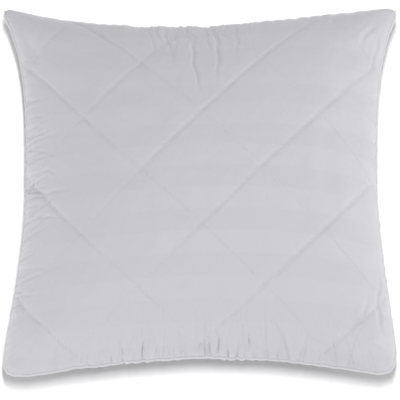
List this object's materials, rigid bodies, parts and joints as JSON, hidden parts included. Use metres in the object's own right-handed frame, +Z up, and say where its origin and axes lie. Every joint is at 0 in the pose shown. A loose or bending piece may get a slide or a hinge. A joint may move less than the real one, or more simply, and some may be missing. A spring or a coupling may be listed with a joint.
{
  "type": "bed pillow",
  "caption": "Square stuffed bed pillow with a diamond quilted, satin striped cover, piped edges, pulled-in sides and rounded corner ears.",
  "frame": {"origin": "middle of the pillow at the height of the flat face that it rests on", "axes": "+Z up through the thickness, +X across and +Y from the lower side, with the closing seam, to the upper side"},
  "size_m": [0.5, 0.5, 0.1514],
  "materials": {
    "cover_fabric": "satin",
    "piping_fabric": "satin",
    "wadding": "matte",
    "lining": "matte",
    "fill": "matte",
    "cord": "matte",
    "thread": "satin",
    "label": "satin"
  },
  "bodies": {
    "root": {"front_cover": "cover_fabric", "front_wadding": "wadding", "front_lining": "lining", "front_quilting_thread": "thread", "back_cover": "cover_fabric", "back_wadding": "wadding", "back_lining": "lining", "back_quilting_thread": "thread", "fibre_fill": "fill", "piping_cover": "piping_fabric", "piping_cord": "cord", "assembly_seam_thread": "thread", "closing_seam_thread": "thread", "care_label": "label"}
  },
  "joints": []
}
